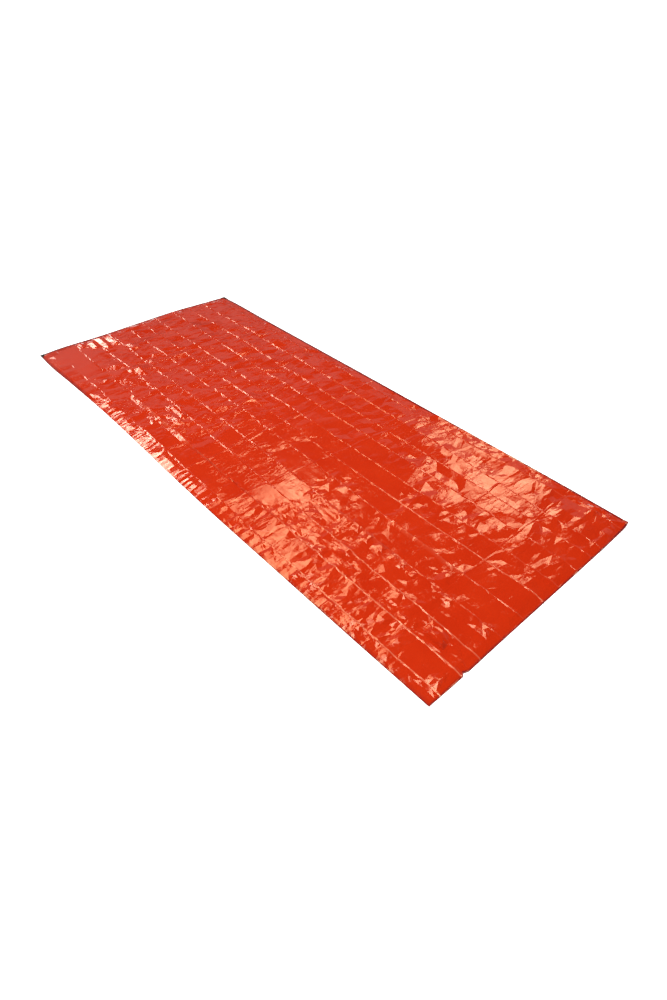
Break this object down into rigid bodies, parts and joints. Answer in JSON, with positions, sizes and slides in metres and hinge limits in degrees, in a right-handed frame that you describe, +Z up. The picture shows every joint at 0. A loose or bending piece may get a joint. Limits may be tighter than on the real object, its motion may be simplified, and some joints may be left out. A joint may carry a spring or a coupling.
{
  "type": "emergency sleeping bag",
  "caption": "Emergency sleeping bag of glossy orange-red film lying flat, welded along its sides and foot, open at the mouth and creased from packing.",
  "frame": {"origin": "middle of the bag's outline, on the face that lies on the ground", "axes": "+Y from the open mouth to the welded foot, +X to the right seen from the mouth, +Z up"},
  "size_m": [0.927, 2.1342, 0.0142],
  "materials": {
    "film": "glossy, crinkled",
    "tape": "matte"
  },
  "bodies": {
    "root": {"bag": "film", "corner_patch_left": "tape", "corner_patch_right": "tape"}
  },
  "joints": []
}
